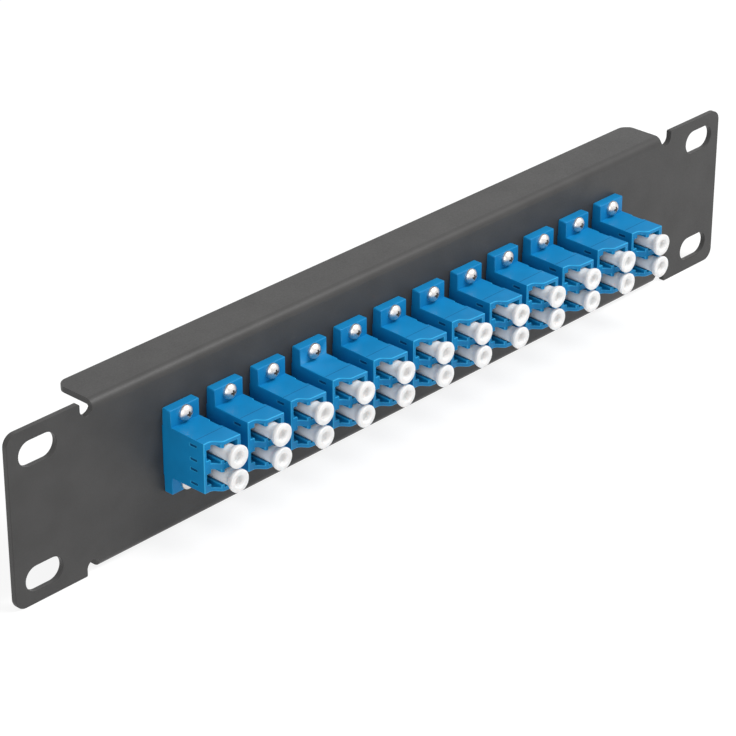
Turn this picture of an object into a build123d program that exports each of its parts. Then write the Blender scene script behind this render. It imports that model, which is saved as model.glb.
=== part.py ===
from build123d import *
import os

os.makedirs("parts", exist_ok=True)

# A half-width rack panel of folded steel sheet, carrying a row of duplex fibre adapters.
# Every port is closed by a push-in dust cap, at the front and at the back.
# All sizes are in millimetres. X runs along the row, the front faces -Y and Z is up.
# The origin is the centre of the four rack slots, on the rear face of the mounting ears.

# Steel panel
panel_width = 254.0
ear_height = 44.4
ear_width = 21.3
sheet_thickness = 1.5
body_inset = 0.65
flange_depth = 12.6
bend_inner_radius = 0.8
ear_corner_radius = 3.0
ear_inner_corner_radius = 0.5
flange_corner_radius = 3.0
notch_width = 2.3
notch_depth = 3.0
slot_spacing_x = 236.525
slot_spacing_z = 31.75
slot_length = 11.0
slot_width = 6.4

# Row of adapters
adapter_count = 12
adapter_pitch = 14.05
row_offset_x = 0.7
row_offset_z = 0.75
cutout_clearance = 0.1
cut_margin = 1.0

# Adapter housing
adapter_width = 9.3
adapter_height = 13.2
lug_height = 22.0
lug_thickness = 2.6
lug_corner_radius = 0.4
latch_side_reach = 10.8
floor_side_reach = 13.3
curve_start = 1.5
curve_width = 3.1
curve_rise_left = 0.3
edge_chamfer = 0.25
side_recess_depth = 0.5
side_recess_start = 3.4
side_recess_length = 4.1
side_recess_ramp = 0.4
seam_distance = 8.1
seam_step = 0.12
side_groove_distance = 6.3
side_groove_length = 2.1
side_groove_height = 0.5
side_groove_depth = 0.25
side_groove_inner_spacing = 2.6
side_groove_outer_spacing = 9.8

# Ports
port_pitch = 6.25
port_offset = 1.0
port_size = 4.66
throat_reach = 1.25
neck_width = 3.1
neck_depth = 0.8
shoulder_depth = 1.5
latch_slot_width = 2.76
latch_side_wall = 0.9
floor_side_wall = 0.95
septum_thickness = 2.0
sleeve_holder_diameter = 2.8
sleeve_holder_reach = 4.2
sleeve_lip_length = 0.6
sleeve_lip_bore = 1.45

# Split sleeves
sleeve_outer_diameter = 1.6
sleeve_inner_diameter = 1.25
sleeve_length = 6.8
sleeve_slit = 0.25
sleeve_clearance = 0.05

# Dust caps
cap_projection = 3.3
cap_head_diameter = 5.7
cap_head_length = 1.15
cap_edge_chamfer = 0.25
cap_flare_length = 1.05
cap_stem_diameter = 4.0
cap_tip_diameter = 3.8
cap_recess_diameter = 2.6
cap_recess_floor_diameter = 2.3
cap_recess_depth = 1.8
cap_overlap = 1.6
cap_bore_depth = 4.0
cap_bore_clearance = 0.06

# Screws and nuts
screw_spacing = 18.0
screw_diameter = 2.0
screw_hole_clearance = 0.1
screw_head_diameter = 3.7
screw_head_height = 1.3
screw_head_rim = 0.45
screw_tail = 0.8
driver_recess_width = 0.5
driver_recess_length = 2.0
driver_recess_depth = 0.7
nut_width = 4.0
nut_height = 1.6
nut_thread_clearance = 0.02

# Places that follow from the sizes
panel_front = -sheet_thickness
body_height = ear_height - 2 * body_inset
panel_half_width = panel_width / 2
ear_inner_edge = panel_half_width - ear_width
body_half_length = ear_inner_edge - notch_width
bend_outer_radius = bend_inner_radius + sheet_thickness
adapter_middle = panel_front - lug_thickness / 2
latch_side_end = adapter_middle - lug_thickness / 2 - latch_side_reach
floor_side_end = adapter_middle - lug_thickness / 2 - floor_side_reach
septum_face = adapter_middle - septum_thickness / 2
holder_end = adapter_middle - sleeve_holder_reach
cap_face = floor_side_end - cap_projection
cap_tip = holder_end + cap_overlap
row_places = [row_offset_x + adapter_pitch * (i - (adapter_count - 1) / 2) for i in range(adapter_count)]
port_heights = [row_offset_z + port_pitch / 2, row_offset_z - port_pitch / 2]
screw_heights = [row_offset_z + screw_spacing / 2, row_offset_z - screw_spacing / 2]
screw_hole_radius = screw_diameter / 2 + screw_hole_clearance


def slab(outline, front, rear):
    """Push an outline seen from the front through from y = front to y = rear."""
    return extrude(Plane.XZ.offset(-rear) * outline, rear - front)


def to_the_rear(shape):
    """The same shape turned to the rear side, mirrored in the adapters' middle plane."""
    return mirror(shape, about=Plane.XZ.offset(-adapter_middle))


def folded_body():
    """The channel between the ears: front wall, two bends and two flanges running back."""
    rear = panel_front + flange_depth
    outer = Pos((panel_front + rear) / 2, 0) * Rectangle(flange_depth, body_height)
    outer = fillet(outer.vertices().group_by(Axis.X)[0], bend_outer_radius)
    hollow = Pos(flange_depth / 2, 0) * Rectangle(flange_depth, body_height - 2 * sheet_thickness)
    hollow = fillet(hollow.vertices().group_by(Axis.X)[0], bend_inner_radius)
    channel = extrude(Plane.YZ * (outer - hollow), body_half_length, both=True)
    rear_corners = channel.edges().filter_by(Axis.Z).group_by(Axis.Y)[-1]
    return fillet(rear_corners, flange_corner_radius)


def ear_outline():
    """The right-hand ear seen from the front, its two outer corners rounder than the inner ones."""
    ear = Pos(panel_half_width - ear_width / 2, 0) * Rectangle(ear_width, ear_height)
    ear = fillet(ear.vertices().group_by(Axis.X)[-1], ear_corner_radius)
    return fillet(ear.vertices().group_by(Axis.X)[0], ear_inner_corner_radius)


def relief_outline():
    """The strip between the right-hand ear and the body, with a round-bottomed notch above and below."""
    notch_radius = notch_width / 2
    notch_centre = ear_height / 2 - notch_depth + notch_radius
    strip = Rectangle(notch_width, 2 * notch_centre)
    for side in (1, -1):
        strip -= Pos(0, side * notch_centre) * Circle(notch_radius)
    return Pos(ear_inner_edge - notch_radius, 0) * strip


def ear_plate():
    """The flat front blank with both ears, up to the lines where the body bends back."""
    bend_line = body_height / 2 - bend_outer_radius
    right_end = ear_outline() + relief_outline()
    blank = Rectangle(2 * body_half_length, 2 * bend_line) + right_end + mirror(right_end, about=Plane.YZ)
    return slab(blank, panel_front, 0)


def panel_openings():
    """Outlines of everything punched through: rack slots, adapter windows and screw holes."""
    window_width = adapter_width + 2 * cutout_clearance
    window_height = adapter_height + 2 * cutout_clearance
    window_corner = 2 * cutout_clearance
    holes = [
        Pos(x, z) * SlotOverall(slot_length, slot_width)
        for x in (-slot_spacing_x / 2, slot_spacing_x / 2)
        for z in (-slot_spacing_z / 2, slot_spacing_z / 2)
    ]
    for x in row_places:
        holes.append(Pos(x, row_offset_z) * RectangleRounded(window_width, window_height, window_corner))
        for z in screw_heights:
            holes.append(Pos(x, z) * Circle(screw_hole_radius))
    return Sketch() + holes


def rack_panel():
    """One folded and punched sheet."""
    sheet = ear_plate() + folded_body()
    return sheet - slab(panel_openings(), panel_front - cut_margin, cut_margin)


def band(start, end, width):
    """A rectangle from x = start to x = end, centred on the port's axis."""
    return Pos((start + end) / 2, 0) * Rectangle(end - start, width)


def port_outline():
    """Mouth of one port: plug space, narrower neck, shoulders and the latch's slot."""
    floor = adapter_width / 2 - port_offset - floor_side_wall
    neck = -throat_reach - neck_depth
    shoulder = neck - shoulder_depth
    slot_end = latch_side_wall - adapter_width / 2 - port_offset
    outline = band(-throat_reach, floor, port_size)
    outline += band(neck, -throat_reach, neck_width)
    outline += band(shoulder, neck, port_size)
    outline += band(slot_end, shoulder, latch_slot_width)
    return outline


def half_housing_plan():
    """Half of the housing seen from above, from the middle plane to its curved front edge."""
    left = -adapter_width / 2
    right = adapter_width / 2
    recess_front = adapter_middle - lug_thickness / 2 - side_recess_start - side_recess_length
    recess_rear = adapter_middle - lug_thickness / 2 - side_recess_start
    recess_left = right - side_recess_depth
    curve_left = left + curve_start
    curve_right = curve_left + curve_width
    curve_middle = curve_left + curve_width / 2
    curve_end = floor_side_end + curve_rise_left
    latch_edge = Polyline((left, adapter_middle), (left, latch_side_end), (curve_left, latch_side_end))
    sweep_edge = Bezier(
        (curve_left, latch_side_end),
        (curve_middle, latch_side_end),
        (curve_middle, curve_end),
        (curve_right, curve_end),
    )
    floor_edge = Polyline(
        (curve_right, curve_end),
        (right, floor_side_end),
        (right, recess_front),
        (recess_left, recess_front + side_recess_ramp),
        (recess_left, recess_rear - side_recess_ramp),
        (right, recess_rear),
        (right, adapter_middle),
        (left, adapter_middle),
    )
    return make_face(latch_edge + sweep_edge + floor_edge)


def half_housing():
    """Front half of a housing without its lugs, with the port cavities and sleeve holders."""
    shell = extrude(half_housing_plan(), adapter_height / 2, both=True)
    edges_by_side = shell.edges().filter_by(Axis.Y).group_by(Axis.X)
    shell = chamfer(edges_by_side[0] + edges_by_side[-1], edge_chamfer)
    seam = adapter_middle - lug_thickness / 2 - seam_distance
    groove_middle = adapter_middle - lug_thickness / 2 - side_groove_distance - side_groove_length / 2
    groove = Box(2 * side_groove_depth, side_groove_length, side_groove_height)
    for side in (1, -1):
        step_height = adapter_height / 2 - seam_step / 2
        step = Box(adapter_width, floor_side_reach, seam_step)
        shell -= Pos(0, seam - floor_side_reach / 2, side * step_height) * step
        for spacing in (side_groove_inner_spacing, side_groove_outer_spacing):
            shell -= Pos(-adapter_width / 2, groove_middle, side * spacing / 2) * groove
        port_place = Pos(port_offset, side * port_pitch / 2)
        shell -= slab(port_place * port_outline(), cap_face, septum_face)
        shell += slab(port_place * Circle(sleeve_holder_diameter / 2), holder_end, adapter_middle)
    return shell


def mounting_lugs():
    """The plate in the middle of the housing, which is screwed to the panel's front."""
    outline = RectangleRounded(adapter_width, lug_height, lug_corner_radius)
    for side in (1, -1):
        outline -= Pos(0, side * screw_spacing / 2) * Circle(screw_hole_radius)
    plate = slab(outline, panel_front - lug_thickness, panel_front)
    return chamfer(plate.faces().sort_by(Axis.Y)[0].outer_wire().edges(), edge_chamfer)


def adapter_housing():
    """One welded duplex housing, centred on its own lugs."""
    half = half_housing()
    housing = half + to_the_rear(half)
    housing += mounting_lugs()
    chamber_radius = sleeve_outer_diameter / 2 + sleeve_clearance
    chamber_half = sleeve_holder_reach - sleeve_lip_length
    for side in (1, -1):
        place = Pos(port_offset, side * port_pitch / 2)
        lip_bore = place * Circle(sleeve_lip_bore / 2)
        chamber = place * Circle(chamber_radius)
        housing -= slab(lip_bore, holder_end - cut_margin, adapter_middle + sleeve_holder_reach + cut_margin)
        housing -= slab(chamber, adapter_middle - chamber_half, adapter_middle + chamber_half)
    return housing


def split_sleeve():
    """Ceramic tube with one slit, which lines up two ferrules end to end."""
    ring = Circle(sleeve_outer_diameter / 2) - Circle(sleeve_inner_diameter / 2)
    ring -= Pos(0, sleeve_outer_diameter / 2) * Rectangle(sleeve_slit, sleeve_outer_diameter)
    return slab(ring, adapter_middle - sleeve_length / 2, adapter_middle + sleeve_length / 2)


def dust_cap():
    """Soft cap, turned about its own axis: dimpled head, flare, stem and a bore for the sleeve holder."""
    head = cap_head_diameter / 2
    stem = cap_stem_diameter / 2
    tip = cap_tip_diameter / 2
    recess = cap_recess_diameter / 2
    recess_floor = cap_recess_floor_diameter / 2
    bore = sleeve_holder_diameter / 2 + cap_bore_clearance
    recess_end = cap_face + cap_recess_depth
    bore_end = cap_tip - cap_bore_depth
    shoulder = cap_face + cap_head_length
    outline = Polyline(
        (0, recess_end),
        (recess_floor, recess_end),
        (recess, cap_face),
        (head - cap_edge_chamfer, cap_face),
        (head, cap_face + cap_edge_chamfer),
        (head, shoulder),
        (stem, shoulder + cap_flare_length),
        (tip, cap_tip),
        (bore, cap_tip),
        (bore, bore_end),
        (0, bore_end),
        close=True,
    )
    return revolve(make_face(outline), Axis.Y)


def screw():
    """Pan-head screw with a cross recess, its axis along Y."""
    seat = panel_front - lug_thickness
    top = seat - screw_head_height
    rim = seat - screw_head_rim
    head = screw_head_diameter / 2
    shank = screw_diameter / 2
    end = nut_height + screw_tail
    rise = screw_head_height - screw_head_rim
    crown_radius = (head**2 + rise**2) / (2 * rise)
    crown = RadiusArc((0, top), (head, rim), -crown_radius)
    side = Polyline((head, rim), (head, seat), (shank, seat), (shank, end), (0, end), (0, top))
    body = revolve(make_face(crown + side), Axis.Y)
    cross = Rectangle(driver_recess_length, driver_recess_width) + Rectangle(driver_recess_width, driver_recess_length)
    return body - slab(cross, top - cut_margin, top + driver_recess_depth)


def nut():
    """Hexagon nut against the panel's rear face."""
    outline = RegularPolygon(nut_width / 2, 6, major_radius=False)
    outline -= Circle(screw_diameter / 2 + nut_thread_clearance)
    return slab(outline, 0, nut_height)


def write(shape, name):
    """Save one node under its own name."""
    shape.label = name
    export_step(shape, f"parts/{name}.step")


write(rack_panel(), "rack_panel")

housing = adapter_housing()
front_cap = dust_cap()
rear_cap = to_the_rear(front_cap)
one_screw = screw()
one_nut = nut()
one_sleeve = split_sleeve()
screws = []
nuts = []
sleeves = []

for number, x in enumerate(row_places, start=1):
    write(Pos(x, 0, row_offset_z) * housing, f"adapter_{number:02d}")
    for level, z in zip(("upper", "lower"), port_heights):
        write(Pos(x + port_offset, 0, z) * front_cap, f"front_cap_{number:02d}_{level}")
        sleeves.append(Pos(x + port_offset, 0, z) * one_sleeve)
    pair = [Pos(x + port_offset, 0, z) * rear_cap for z in port_heights]
    write(Compound(children=pair), f"rear_caps_{number:02d}")
    for z in screw_heights:
        screws.append(Pos(x, 0, z) * one_screw)
        nuts.append(Pos(x, 0, z) * one_nut)

write(Compound(children=screws), "adapter_screws")
write(Compound(children=nuts), "adapter_nuts")
write(Compound(children=sleeves), "split_sleeves")
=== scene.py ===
import math

import bmesh
import bpy
from mathutils import Matrix, Vector


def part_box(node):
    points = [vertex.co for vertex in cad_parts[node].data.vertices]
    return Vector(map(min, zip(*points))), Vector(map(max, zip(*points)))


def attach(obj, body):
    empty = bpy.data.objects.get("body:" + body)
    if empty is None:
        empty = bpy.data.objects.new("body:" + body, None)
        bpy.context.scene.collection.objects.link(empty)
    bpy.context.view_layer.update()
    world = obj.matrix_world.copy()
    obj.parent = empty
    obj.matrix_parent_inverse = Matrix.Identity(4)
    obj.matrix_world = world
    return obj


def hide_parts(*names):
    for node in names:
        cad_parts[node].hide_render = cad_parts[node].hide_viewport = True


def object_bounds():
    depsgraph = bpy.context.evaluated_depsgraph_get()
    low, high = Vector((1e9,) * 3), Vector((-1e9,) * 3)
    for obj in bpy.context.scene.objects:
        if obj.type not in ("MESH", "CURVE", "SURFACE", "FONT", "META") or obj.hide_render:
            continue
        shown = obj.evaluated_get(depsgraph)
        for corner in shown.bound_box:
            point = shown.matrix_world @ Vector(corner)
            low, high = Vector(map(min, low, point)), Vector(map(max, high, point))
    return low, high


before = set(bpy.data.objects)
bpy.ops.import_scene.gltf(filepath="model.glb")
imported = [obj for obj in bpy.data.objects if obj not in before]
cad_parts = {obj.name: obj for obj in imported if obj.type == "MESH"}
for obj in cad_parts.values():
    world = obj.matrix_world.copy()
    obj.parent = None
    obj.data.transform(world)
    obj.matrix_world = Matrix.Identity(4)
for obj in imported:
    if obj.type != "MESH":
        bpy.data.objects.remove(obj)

cad_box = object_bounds()


# Rack panel
# One steel sheet, punched and folded back into a shallow channel between its two ears.
# Fine-textured black powder coat covers it and rounds every sheared edge a little.

mm = 0.001
merge_distance = 0.002 * mm
flat_angle = math.radians(1)
crisp_angle = math.radians(28)
quarter_turn = math.radians(90)
noise_low = 0.3
noise_high = 0.7


def crisp_edges(bm, angle=crisp_angle):
    """Edges where two faces of a solid meet at a clear angle."""
    return [e for e in bm.edges if len(e.link_faces) == 2 and e.calc_face_angle(0) > angle]


def merged_copy(node):
    """A solid's own mesh, with its loose triangles joined and its flat faces made whole."""
    bm = bmesh.new()
    bm.from_mesh(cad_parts[node].data)
    bmesh.ops.remove_doubles(bm, verts=bm.verts, dist=merge_distance)
    bmesh.ops.dissolve_limit(bm, angle_limit=flat_angle, verts=bm.verts, edges=bm.edges)
    return bm


def round_edges(bm, edges, radius, segments=2):
    """Give the named edges a small radius, and hand back the new faces."""
    rounded = bmesh.ops.bevel(
        bm,
        geom=edges,
        offset=radius,
        offset_type="OFFSET",
        segments=segments,
        profile=0.5,
        affect="EDGES",
        clamp_overlap=False,
        material=-1,
    )
    return rounded["faces"]


def carved(bm, tool, operation):
    """The piece after a tool's shape is cut out of it, or after only what they share is kept."""
    made = []
    for shape in (bm, tool):
        mesh = bpy.data.meshes.new("blank")
        shape.to_mesh(mesh)
        shape.free()
        made.append(bpy.data.objects.new("blank", mesh))
        bpy.context.scene.collection.objects.link(made[-1])
    cut = made[0].modifiers.new("cut", "BOOLEAN")
    cut.object = made[1]
    cut.operation = operation
    cut.solver = "EXACT"
    finished = bmesh.new()
    finished.from_object(made[0], bpy.context.evaluated_depsgraph_get())
    for blank in made:
        mesh = blank.data
        bpy.data.objects.remove(blank)
        bpy.data.meshes.remove(mesh)
    return finished


def piece_from(bm, name, material, angle=crisp_angle):
    """Turn a finished bmesh into a shown object with smooth shading between its crisp edges."""
    mesh = bpy.data.meshes.new(name)
    bm.to_mesh(mesh)
    bm.free()
    mesh.materials.append(material)
    mesh.shade_smooth()
    mesh.set_sharp_from_angle(angle=angle)
    piece = bpy.data.objects.new(name, mesh)
    bpy.context.scene.collection.objects.link(piece)
    weighted = piece.modifiers.new("even_shading", "WEIGHTED_NORMAL")
    weighted.keep_sharp = True
    return piece


def new_material(name):
    """An empty surface, with its shader and the object's own coordinates ready to use."""
    material = bpy.data.materials.new(name)
    material.use_nodes = True
    nodes = material.node_tree.nodes
    shader = nodes["Principled BSDF"]
    place = nodes.new("ShaderNodeTexCoord").outputs["Object"]
    return material, shader, place


def grain(material, place, size, detail=2.0, roughness=0.5):
    """Noise whose blotches are about the given size, in metres."""
    noise = material.node_tree.nodes.new("ShaderNodeTexNoise")
    noise.inputs["Scale"].default_value = 1 / size
    noise.inputs["Detail"].default_value = detail
    noise.inputs["Roughness"].default_value = roughness
    material.node_tree.links.new(place, noise.inputs["Vector"])
    return noise.outputs["Fac"]


def between(material, factor, low, high):
    """Spread a noise value over a range."""
    spread = material.node_tree.nodes.new("ShaderNodeMapRange")
    spread.inputs["From Min"].default_value = noise_low
    spread.inputs["From Max"].default_value = noise_high
    spread.inputs["To Min"].default_value = low
    spread.inputs["To Max"].default_value = high
    material.node_tree.links.new(factor, spread.inputs["Value"])
    return spread.outputs["Result"]


def tinted(material, factor, dark, light):
    """Colour that runs from dark to light with a noise value."""
    ramp = material.node_tree.nodes.new("ShaderNodeValToRGB")
    ramp.color_ramp.elements[0].position = noise_low
    ramp.color_ramp.elements[0].color = (*dark, 1)
    ramp.color_ramp.elements[1].position = noise_high
    ramp.color_ramp.elements[1].color = (*light, 1)
    material.node_tree.links.new(factor, ramp.inputs["Fac"])
    return ramp.outputs["Color"]


def raise_surface(material, shader, height, distance, strength):
    """Bump the surface by a height pattern, distance in metres."""
    bump = material.node_tree.nodes.new("ShaderNodeBump")
    bump.inputs["Strength"].default_value = strength
    bump.inputs["Distance"].default_value = distance
    material.node_tree.links.new(height, bump.inputs["Height"])
    material.node_tree.links.new(bump.outputs["Normal"], shader.inputs["Normal"])


coat_dark = (0.0365, 0.0356, 0.0350)
coat_light = (0.0465, 0.0455, 0.0448)
coat_gloss = (0.40, 0.54)
coat_specular = 0.38
coat_cloud_size = 9 * mm
coat_grain_size = 0.35 * mm
coat_grain_detail = 3
coat_relief = 0.03 * mm
coat_relief_strength = 0.35
coat_edge_radius = 0.18 * mm
ear_width = 21.3 * mm
notch_width = 3.9 * mm
notch_depth = 3.7 * mm
flange_corner_radius = 3 * mm
flange_corner_steps = 8
notch_margin = 0.3 * mm
notch_round = 24
cut_reach = 20 * mm
cut_play = 0.01 * mm
bend_start = 18.6 * mm

powder_coat, shader, place = new_material("powder_coat")
links = powder_coat.node_tree.links
pimples = grain(powder_coat, place, coat_grain_size, detail=coat_grain_detail)
clouds = grain(powder_coat, place, coat_cloud_size)
links.new(tinted(powder_coat, clouds, coat_dark, coat_light), shader.inputs["Base Color"])
links.new(between(powder_coat, pimples, *coat_gloss), shader.inputs["Roughness"])
shader.inputs["Specular IOR Level"].default_value = coat_specular
raise_surface(powder_coat, shader, pimples, coat_relief, coat_relief_strength)

notch_radius = notch_width / 2
notch_x = cad_box[1].x - ear_width - notch_radius
notch_z = cad_box[1].z - notch_depth + notch_radius


def notch_punches():
    """The round-bottomed punches of the four relief notches, open towards the sheet's edges."""
    bm = bmesh.new()
    upright = Matrix.Rotation(quarter_turn, 3, "X")
    for side in (1, -1):
        for level in (1, -1):
            disc = bmesh.ops.create_circle(
                bm,
                cap_ends=True,
                segments=notch_round,
                radius=notch_radius,
            )["verts"]
            bmesh.ops.rotate(bm, verts=disc, cent=(0, 0, 0), matrix=upright)
            for vert in disc:
                if vert.co.z * level > merge_distance:
                    vert.co.z = level * cut_reach
            start = (side * (notch_x - cut_play), -cut_reach / 2, level * notch_z)
            bmesh.ops.translate(bm, verts=disc, vec=start)
            swept = bmesh.ops.extrude_face_region(bm, geom=[disc[0].link_faces[0]])
            moved = [v for v in swept["geom"] if isinstance(v, bmesh.types.BMVert)]
            bmesh.ops.translate(bm, verts=moved, vec=(0, cut_reach, 0))
    bmesh.ops.recalc_face_normals(bm, faces=bm.faces)
    return bm


def flange_trims():
    """Blocks that shorten both flanges behind the notches, and round their rear corners again."""
    bm = bmesh.new()
    body_end = notch_x - notch_radius
    past_corner = body_end - 2 * flange_corner_radius
    flange_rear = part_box("rack_panel")[1].y + cut_play
    outer = notch_x + notch_radius + cut_play
    for side in (1, -1):
        for level in (1, -1):
            outline = [
                (body_end, cut_play),
                (body_end, flange_rear),
                (past_corner, flange_rear),
                (past_corner, cut_reach),
                (outer, cut_reach),
                (outer, cut_play),
            ]
            corners = [bm.verts.new((side * x, y, level * bend_start)) for x, y in outline]
            wires = [bm.edges.new((a, b)) for a, b in zip(corners, corners[1:] + corners[:1])]
            rounded = bmesh.ops.bevel(
                bm,
                geom=[corners[1]],
                offset=flange_corner_radius,
                offset_type="OFFSET",
                segments=flange_corner_steps,
                profile=0.5,
                affect="VERTICES",
                clamp_overlap=False,
                material=-1,
            )
            loop = [e for e in wires if e.is_valid] + rounded["edges"]
            face = bmesh.ops.contextual_create(bm, geom=loop)["faces"][0]
            swept = bmesh.ops.extrude_face_region(bm, geom=[face])
            moved = [v for v in swept["geom"] if isinstance(v, bmesh.types.BMVert)]
            bmesh.ops.translate(bm, verts=moved, vec=(0, 0, level * cut_reach))
    bmesh.ops.recalc_face_normals(bm, faces=bm.faces)
    return bm


def beside_notch(edge):
    """Whether an edge reaches one of the four relief notches, where the sheet stays as punched."""
    return any(
        abs(abs(v.co.x) - notch_x) < notch_radius + notch_margin and abs(v.co.z) > bend_start
        for v in edge.verts
    )


sheet = merged_copy("rack_panel")
sheet = carved(sheet, notch_punches(), "DIFFERENCE")
sheet = carved(sheet, flange_trims(), "DIFFERENCE")
round_edges(sheet, [e for e in crisp_edges(sheet) if not beside_notch(e)], coat_edge_radius)
panel = piece_from(sheet, "coated_panel", powder_coat)
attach(panel, "panel")
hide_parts("rack_panel")


# Duplex adapters
# Twelve blue housings, each two injection-moulded halves welded together, with one lug above
# and one below for the screws. The mould leaves a small radius on every edge.

# The lighter edge blue is a painted highlight, and the darker blue in the grooves and on the
# cover's step is painted shade.
adapter_numbers = range(1, 13)
moulded_edge_radius = 0.18 * mm
square_angle = math.radians(48)
groove_depth = 0.25 * mm
groove_start = 6.3 * mm
groove_length = 2.1 * mm
lug_thickness = 2.6 * mm
sheet_thickness = 1.5 * mm
seam_distance = 8.1 * mm
lug_front = -sheet_thickness - lug_thickness
plastic_specular = 0.22
gloss_spread = 0.1
flow_size = 6 * mm
spark_size = 0.12 * mm
spark_relief = 0.008 * mm
spark_relief_strength = 0.25
face_slot, painted_highlight_slot, painted_shade_slot = range(3)


def blue_plastic(name, dark, light, gloss):
    """Satin blue plastic with a faint flow pattern and a fine spark-eroded grain."""
    material, shader, place = new_material(name)
    links = material.node_tree.links
    flow = grain(material, place, flow_size)
    spark = grain(material, place, spark_size)
    links.new(tinted(material, flow, dark, light), shader.inputs["Base Color"])
    links.new(between(material, spark, gloss, gloss + gloss_spread), shader.inputs["Roughness"])
    shader.inputs["Specular IOR Level"].default_value = plastic_specular
    raise_surface(material, shader, spark, spark_relief, spark_relief_strength)
    return material


face_blue = blue_plastic("adapter_faces", (0.004, 0.197, 0.450), (0.005, 0.224, 0.505), 0.32)
# Lighter blue for the rounded edges: a painted highlight.
painted_edge_highlight_blue = blue_plastic("adapter_painted_edge_highlight", (0.022, 0.355, 0.655), (0.027, 0.390, 0.710), 0.30)
# Darker blue for the side grooves and the cover's step: painted shade.
painted_shade_blue = blue_plastic("adapter_painted_shade", (0.002, 0.080, 0.210), (0.002, 0.095, 0.240), 0.40)
groove_front = lug_front - groove_start - groove_length
groove_rear = lug_front - groove_start


def on_front_half(y):
    """A place along the housing, turned to its front half."""
    return min(y, -2 * sheet_thickness - lug_thickness - y)


def in_groove(face, left):
    """Whether a face is the floor or a wall of one of the short grooves in the housing's side."""
    middle = face.calc_center_median()
    along = on_front_half(middle.y)
    inside = merge_distance < middle.x - left < groove_depth + merge_distance
    return inside and groove_front - merge_distance < along < groove_rear + merge_distance


def at_seam(edge):
    """Whether an edge runs along the low step where the housing's cover begins."""
    seam = lug_front - seam_distance
    return all(abs(on_front_half(v.co.y) - seam) < merge_distance for v in edge.verts)


for number in adapter_numbers:
    node = f"adapter_{number:02d}"
    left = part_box(node)[0].x
    moulding = merged_copy(node)
    for face in moulding.faces:
        # Faces in the side grooves and on the cover's step take the darker blue, painted shade.
        shaded = in_groove(face, left) or all(at_seam(e) for e in face.edges)
        face.material_index = painted_shade_slot if shaded else face_slot
    outer_edges = [e for e in crisp_edges(moulding, square_angle) if e.is_convex and not at_seam(e)]
    # The new rounding faces take the lighter blue, a painted highlight along every rounded edge.
    for face in round_edges(moulding, outer_edges, moulded_edge_radius):
        if face.material_index == face_slot:
            face.material_index = painted_highlight_slot
    adapter = piece_from(moulding, f"moulded_{node}", face_blue, square_angle)
    adapter.data.materials.append(painted_edge_highlight_blue)
    adapter.data.materials.append(painted_shade_blue)
    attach(adapter, "panel")
    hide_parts(node)


# Split sleeves
# Ground zirconia tubes with one slit, loose in their holders inside the adapters.
# They can be seen only where a dust cap is pulled out.

ceramic_dark = (0.80, 0.79, 0.75)
ceramic_light = (0.88, 0.87, 0.84)
ceramic_gloss = (0.12, 0.2)
ceramic_tone_size = 0.8 * mm
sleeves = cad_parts["split_sleeves"]

ceramic, shader, place = new_material("ceramic")
links = ceramic.node_tree.links
tone = grain(ceramic, place, ceramic_tone_size)
links.new(tinted(ceramic, tone, ceramic_dark, ceramic_light), shader.inputs["Base Color"])
links.new(between(ceramic, tone, *ceramic_gloss), shader.inputs["Roughness"])
sleeves.data.materials.clear()
sleeves.data.materials.append(ceramic)


# Screws
# Small plated pan-head machine screws with a cross recess, two to an adapter.
# They pass through lug and sheet, and their rolled threads stand out behind the nuts.

screw_spacing = 18 * mm
screw_head_radius = 1.95 * mm
screw_head_height = 1.65 * mm
screw_head_rim = 0.55 * mm
screw_rim_radius = 0.15 * mm
screw_shank_radius = 0.98 * mm
screw_crown_steps = 8
screw_round = 40
driver_width = 0.6 * mm
driver_length = 2.2 * mm
driver_depth = 0.9 * mm
driver_taper = 0.45
driver_flank_taper = 0.8
recess_tolerance = 0.04 * mm
thread_pitch = 0.4 * mm
thread_rise = 0.14 * mm
thread_length = 2.1 * mm
thread_steps = 20
thread_sink = 1.2
polish_size = 0.6 * mm
bright_slot, painted_recess_shade_slot = range(2)


def plating(name, dark, light, gloss):
    """Bright metal with a faint unevenness in its colour and polish."""
    material, shader, place = new_material(name)
    links = material.node_tree.links
    polish = grain(material, place, polish_size)
    links.new(tinted(material, polish, dark, light), shader.inputs["Base Color"])
    links.new(between(material, polish, gloss, gloss + gloss_spread), shader.inputs["Roughness"])
    shader.inputs["Metallic"].default_value = 1
    return material


bright_plating = plating("bright_plating", (0.64, 0.61, 0.59), (0.76, 0.73, 0.71), 0.32)
# Darker plating for the faces inside the cross recess: painted shade.
painted_recess_shade_plating = plating("painted_recess_shade_plating", (0.34, 0.32, 0.30), (0.43, 0.41, 0.39), 0.42)


def turned(profile, steps):
    """Spin a profile of (radius, place along the axis) once round the row's depth axis."""
    bm = bmesh.new()
    corners = [bm.verts.new((radius, along, 0)) for radius, along in profile]
    for one, other in zip(corners, corners[1:]):
        bm.edges.new((one, other))
    return spun(bm, steps)


def spun(bm, steps):
    """Close a drawn profile into a solid of revolution."""
    bmesh.ops.spin(
        bm,
        geom=bm.verts[:] + bm.edges[:],
        cent=(0, 0, 0),
        axis=(0, 1, 0),
        angle=math.tau,
        steps=steps,
        use_merge=True,
    )
    bmesh.ops.remove_doubles(bm, verts=bm.verts, dist=merge_distance)
    bmesh.ops.recalc_face_normals(bm, faces=bm.faces)
    return bm


def add_copy(target, source, place):
    """Add a copy of a finished shape to a mesh, moved to its place."""
    mesh = bpy.data.meshes.new("copy")
    source.to_mesh(mesh)
    known = len(target.verts)
    target.from_mesh(mesh)
    target.verts.ensure_lookup_table()
    bmesh.ops.translate(target, verts=target.verts[known:], vec=place)
    bpy.data.meshes.remove(mesh)


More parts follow.
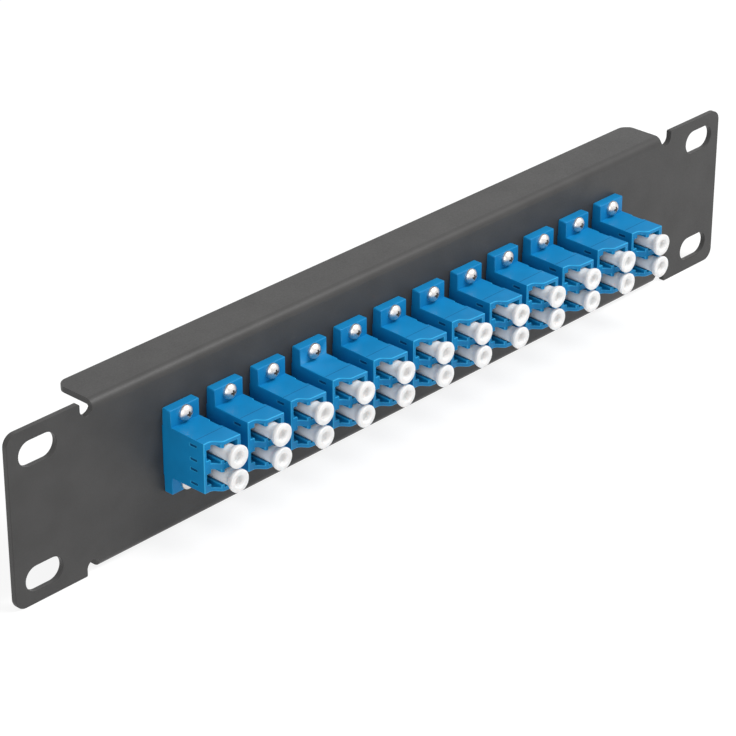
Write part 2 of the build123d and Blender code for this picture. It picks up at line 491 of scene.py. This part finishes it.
def driver_blade(turn):
    """One tapered blade of the cross, pointing into the head from its top."""
    bm = bmesh.new()
    bmesh.ops.create_cube(bm, size=1)
    for vert in bm.verts:
        inside = vert.co.y > 0
        vert.co.x *= driver_length * (driver_taper if inside else 1)
        vert.co.z *= driver_width * (driver_flank_taper if inside else 1)
        vert.co.y = driver_depth if inside else -driver_depth
    bmesh.ops.rotate(bm, verts=bm.verts, cent=(0, 0, 0), matrix=Matrix.Rotation(turn, 3, "Y"))
    return bm


screw_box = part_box("adapter_screws")
screw_top = lug_front - screw_head_height
screw_length = screw_box[1].y - screw_top
screw_rise = screw_head_height - screw_head_rim
screw_crown = (screw_head_radius**2 + screw_rise**2) / (2 * screw_rise)
crown_end = math.asin(screw_head_radius / screw_crown)
screw_profile = []
for step in range(screw_crown_steps + 1):
    angle = crown_end * step / screw_crown_steps
    screw_profile.append((screw_crown * math.sin(angle), screw_crown * (1 - math.cos(angle))))
screw_profile += [
    (screw_head_radius, screw_head_height),
    (screw_shank_radius - thread_rise, screw_head_height),
    (screw_shank_radius - thread_rise, screw_length - thread_rise),
    (screw_shank_radius - 2 * thread_rise, screw_length),
    (0, screw_length),
]
one_screw = turned(screw_profile, screw_round)
head_rim = [
    e for e in one_screw.edges
    if all(abs(v.co.y - screw_rise) < merge_distance for v in e.verts)
]
round_edges(one_screw, head_rim, screw_rim_radius)
for turn in (0, quarter_turn):
    one_screw = carved(one_screw, driver_blade(turn), "DIFFERENCE")
# Faces sunk below the crown inside the cross take the darker plating, painted shade.
for face in one_screw.faces:
    middle = face.calc_center_median()
    out = math.hypot(middle.x, middle.z)
    if out < driver_length / 2 and middle.y < screw_rise + driver_depth:
        crown_here = screw_crown - math.sqrt(screw_crown**2 - out**2)
        sunk = middle.y - crown_here > recess_tolerance
        face.material_index = painted_recess_shade_slot if sunk else bright_slot

tooth = bmesh.new()
thread_start = screw_length - thread_length
thread_root = screw_shank_radius - thread_sink * thread_rise
corners = [
    tooth.verts.new((thread_root, thread_start - thread_pitch / 2, 0)),
    tooth.verts.new((screw_shank_radius, thread_start, 0)),
    tooth.verts.new((thread_root, thread_start + thread_pitch / 2, 0)),
]
tooth_face = tooth.faces.new(corners)
thread_turns = (thread_length - thread_pitch) / thread_pitch
bmesh.ops.spin(
    tooth,
    geom=[tooth_face],
    cent=(0, 0, 0),
    axis=(0, 1, 0),
    dvec=(0, thread_pitch / thread_steps, 0),
    angle=math.tau * thread_turns,
    steps=round(thread_turns * thread_steps),
    use_merge=False,
)
bmesh.ops.recalc_face_normals(tooth, faces=tooth.faces)
add_copy(one_screw, tooth, (0, 0, 0))
tooth.free()

screw_places = []
for number in adapter_numbers:
    low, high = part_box(f"adapter_{number:02d}")
    for side in (1, -1):
        screw_places.append(((low.x + high.x) / 2, (low.z + high.z + side * screw_spacing) / 2))

all_screws = bmesh.new()
for x, z in screw_places:
    add_copy(all_screws, one_screw, (x, screw_top, z))
one_screw.free()
screws = piece_from(all_screws, "pan_head_screws", bright_plating)
screws.data.materials.append(painted_recess_shade_plating)
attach(screws, "panel")
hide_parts("adapter_screws")


# Nuts
# Plated hexagon nuts behind the sheet, one on each screw.
# Their corners are turned off on both faces, as on any bar-turned nut.

nut_width = 4 * mm
nut_bore_radius = 1.02 * mm
nut_corner_drop = 0.28 * mm
nut_countersink = 0.18 * mm
nut_face_share = 0.95
nut_round = 36

nut_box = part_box("adapter_nuts")
nut_height = nut_box[1].y - nut_box[0].y
nut_corner_radius = nut_width / math.sqrt(3)
nut_face_radius = nut_face_share * nut_width / 2

one_nut = bmesh.new()
bmesh.ops.create_cone(
    one_nut,
    cap_ends=True,
    segments=6,
    radius1=nut_corner_radius,
    radius2=nut_corner_radius,
    depth=nut_height,
    matrix=Matrix.Translation((0, nut_height / 2, 0)) @ Matrix.Rotation(quarter_turn, 4, "X"),
)
nut_profile = [
    (nut_bore_radius + nut_countersink, 0),
    (nut_face_radius, 0),
    (nut_corner_radius, nut_corner_drop),
    (nut_corner_radius, nut_height - nut_corner_drop),
    (nut_face_radius, nut_height),
    (nut_bore_radius + nut_countersink, nut_height),
    (nut_bore_radius, nut_height - nut_countersink),
    (nut_bore_radius, nut_countersink),
    (nut_bore_radius + nut_countersink, 0),
]
one_nut = carved(one_nut, turned(nut_profile, nut_round), "INTERSECT")
all_nuts = bmesh.new()
for x, z in screw_places:
    add_copy(all_nuts, one_nut, (x, nut_box[0].y, z))
one_nut.free()
nuts = piece_from(all_nuts, "hexagon_nuts", bright_plating)
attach(nuts, "panel")
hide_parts("adapter_nuts")


# Dust caps
# Soft white plugs, moulded in one piece: a dished head, a short flare and a long hollow stem.
# They push into the ports, at the front and at the back, and keep the ceramic sleeves clean.

cap_head_radius = 2.85 * mm
cap_head_length = 0.95 * mm
cap_flare_length = 1.35 * mm
cap_stem_radius = 2 * mm
cap_tip_radius = 1.9 * mm
cap_dish_radius = 1.5 * mm
cap_dish_floor_radius = 1.2 * mm
cap_dish_depth = 1.2 * mm
cap_bore_radius = 1.46 * mm
cap_bore_depth = 4 * mm
cap_soft_radius = 0.25 * mm
cap_shoulder_radius = 0.55 * mm
cap_neck_radius = 0.75 * mm
cap_round = 48
cap_corner_steps = 4
cap_dark = (0.73, 0.725, 0.72)
cap_light = (0.79, 0.785, 0.78)
cap_gloss = (0.34, 0.44)
cap_milk_size = 1.5 * mm
cap_milk_depth = 2 * mm
cap_milk_share = 0.8
cap_milk_reach = (1, 0.9, 0.85)

white_cap, shader, place = new_material("white_cap")
links = white_cap.node_tree.links
milk = grain(white_cap, place, cap_milk_size)
links.new(tinted(white_cap, milk, cap_dark, cap_light), shader.inputs["Base Color"])
links.new(between(white_cap, milk, *cap_gloss), shader.inputs["Roughness"])
shader.inputs["Subsurface Weight"].default_value = cap_milk_share
shader.inputs["Subsurface Radius"].default_value = cap_milk_reach
shader.inputs["Subsurface Scale"].default_value = cap_milk_depth

low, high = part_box("front_cap_01_upper")
cap_length = high.y - low.y
cap_profile = bmesh.new()
corners = [
    cap_profile.verts.new((radius, along, 0))
    for radius, along in (
        (0, cap_dish_depth),
        (cap_dish_floor_radius, cap_dish_depth),
        (cap_dish_radius, 0),
        (cap_head_radius, 0),
        (cap_head_radius, cap_head_length),
        (cap_stem_radius, cap_head_length + cap_flare_length),
        (cap_tip_radius, cap_length),
        (cap_bore_radius, cap_length),
        (cap_bore_radius, cap_length - cap_bore_depth),
        (0, cap_length - cap_bore_depth),
    )
]
for one, other in zip(corners, corners[1:]):
    cap_profile.edges.new((one, other))
cap_roundings = (
    (corners[1:4], cap_soft_radius),
    (corners[4:5], cap_shoulder_radius),
    (corners[5:6], cap_neck_radius),
)
for rounded, radius in cap_roundings:
    bmesh.ops.bevel(
        cap_profile,
        geom=rounded,
        offset=radius,
        offset_type="OFFSET",
        segments=cap_corner_steps,
        profile=0.5,
        affect="VERTICES",
        clamp_overlap=False,
        material=-1,
    )
one_cap = spun(cap_profile, cap_round)
rear_cap = one_cap.copy()
bmesh.ops.scale(rear_cap, verts=rear_cap.verts, vec=(1, -1, 1))
bmesh.ops.reverse_faces(rear_cap, faces=rear_cap.faces)

for number in adapter_numbers:
    for level in ("upper", "lower"):
        node = f"front_cap_{number:02d}_{level}"
        low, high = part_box(node)
        cap_bm = bmesh.new()
        add_copy(cap_bm, one_cap, ((low.x + high.x) / 2, low.y, (low.z + high.z) / 2))
        cap = piece_from(cap_bm, f"soft_{node}", white_cap)
        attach(cap, node)
        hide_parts(node)
    node = f"rear_caps_{number:02d}"
    low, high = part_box(node)
    cap_bm = bmesh.new()
    for z in (low.z + cap_head_radius, high.z - cap_head_radius):
        add_copy(cap_bm, rear_cap, ((low.x + high.x) / 2, high.y, z))
    caps = piece_from(cap_bm, f"soft_{node}", white_cap)
    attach(caps, node)
    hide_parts(node)
one_cap.free()
rear_cap.free()


# Floor, light and camera
# A plain white studio floor lies just under the panel, with two broad soft lamps and a white sky.
# The camera stands to the left of the row of ports and looks down on it a little.

floor_gap = 0.02 * mm
floor_half_width = 3
floor_tone = 0.8
floor_glow_share = 0.85
floor_shadow_share = 0.2
sky_strength = 0.42

floor_material = bpy.data.materials.new("studio_floor")
floor_material.use_nodes = True
floor_nodes = floor_material.node_tree.nodes
floor_links = floor_material.node_tree.links
floor_nodes.remove(floor_nodes["Principled BSDF"])
floor_matt = floor_nodes.new("ShaderNodeBsdfDiffuse")
floor_matt.inputs["Color"].default_value = (floor_tone,) * 3 + (1,)
floor_shade = floor_nodes.new("ShaderNodeBsdfDiffuse")
floor_shade.inputs["Color"].default_value = (floor_shadow_share,) * 3 + (1,)
floor_glow = floor_nodes.new("ShaderNodeEmission")
floor_glow.inputs["Strength"].default_value = floor_glow_share
floor_seen = floor_nodes.new("ShaderNodeAddShader")
floor_mix = floor_nodes.new("ShaderNodeMixShader")
ray = floor_nodes.new("ShaderNodeLightPath")
floor_links.new(floor_shade.outputs[0], floor_seen.inputs[0])
floor_links.new(floor_glow.outputs[0], floor_seen.inputs[1])
floor_links.new(floor_matt.outputs[0], floor_mix.inputs[1])
floor_links.new(floor_seen.outputs[0], floor_mix.inputs[2])
floor_links.new(floor_mix.outputs[0], floor_nodes["Material Output"].inputs["Surface"])


def seen_directly(nodes, links, ray):
    """1 for what is seen straight, in a gloss or through glass, and 0 for the light shed."""
    first = nodes.new("ShaderNodeMath")
    first.operation = "MAXIMUM"
    links.new(ray.outputs["Is Camera Ray"], first.inputs[0])
    links.new(ray.outputs["Is Glossy Ray"], first.inputs[1])
    second = nodes.new("ShaderNodeMath")
    second.operation = "MAXIMUM"
    links.new(first.outputs[0], second.inputs[0])
    links.new(ray.outputs["Is Transmission Ray"], second.inputs[1])
    return second.outputs[0]


floor_links.new(seen_directly(floor_nodes, floor_links, ray), floor_mix.inputs["Fac"])

floor_bm = bmesh.new()
bmesh.ops.create_grid(floor_bm, x_segments=1, y_segments=1, size=floor_half_width)
bmesh.ops.translate(floor_bm, verts=floor_bm.verts, vec=(0, 0, cad_box[0].z - floor_gap))
floor_mesh = bpy.data.meshes.new("floor")
floor_bm.to_mesh(floor_mesh)
floor_bm.free()
floor_mesh.materials.append(floor_material)
floor = bpy.data.objects.new("floor", floor_mesh)
bpy.context.scene.collection.objects.link(floor)

world = bpy.data.worlds.new("studio")
bpy.context.scene.world = world
world.use_nodes = True
world_nodes = world.node_tree.nodes
world_links = world.node_tree.links
soft_sky = world_nodes["Background"]
soft_sky.inputs["Color"].default_value = (1, 1, 1, 1)
soft_sky.inputs["Strength"].default_value = sky_strength
white_sky = world_nodes.new("ShaderNodeBackground")
white_sky.inputs["Color"].default_value = (1, 1, 1, 1)
world_mix = world_nodes.new("ShaderNodeMixShader")
ray = world_nodes.new("ShaderNodeLightPath")
world_links.new(seen_directly(world_nodes, world_links, ray), world_mix.inputs["Fac"])
world_links.new(soft_sky.outputs[0], world_mix.inputs[1])
world_links.new(white_sky.outputs[0], world_mix.inputs[2])
world_links.new(world_mix.outputs[0], world_nodes["World Output"].inputs["Surface"])


def soft_lamp(name, place, aim, size, power):
    """A square lamp pointed at a place on the panel."""
    light = bpy.data.lights.new(name, "AREA")
    light.shape = "SQUARE"
    light.size = size
    light.energy = power
    lamp = bpy.data.objects.new(name, light)
    lamp.location = place
    lamp.rotation_euler = (Vector(aim) - Vector(place)).to_track_quat("-Z", "Y").to_euler()
    bpy.context.scene.collection.objects.link(lamp)


soft_lamp("key_lamp", place=(0.32, -0.50, 0.93), aim=(0, 0, 0), size=0.5, power=10.2)
soft_lamp("fill_lamp", place=(-0.95, -0.55, 0.30), aim=(0, 0, 0), size=0.6, power=3.3)

camera_azimuth = math.radians(-46.972)
camera_elevation = math.radians(27.5)
camera_roll = math.radians(0.079)
camera_target = Vector((-12.69, -1.5, -4.095)) * mm
camera_distance = 716.33 * mm
sensor_width = 36
focal_length = 143.19
nearest_seen = 0.01
furthest_seen = 20

back = Vector((
    math.sin(camera_azimuth) * math.cos(camera_elevation),
    -math.cos(camera_azimuth) * math.cos(camera_elevation),
    math.sin(camera_elevation),
))
camera_data = bpy.data.cameras.new("camera")
camera_data.sensor_width = sensor_width
camera_data.lens = focal_length
camera_data.clip_start = nearest_seen
camera_data.clip_end = furthest_seen
camera = bpy.data.objects.new("camera", camera_data)
level = (-back).to_track_quat("-Z", "Y").to_matrix()
camera.matrix_world = (
    Matrix.Translation(camera_target + back * camera_distance)
    @ (level @ Matrix.Rotation(camera_roll, 3, "Z")).to_4x4()
)
bpy.context.scene.collection.objects.link(camera)
bpy.context.scene.camera = camera
bpy.context.scene.view_settings.view_transform = "Standard"
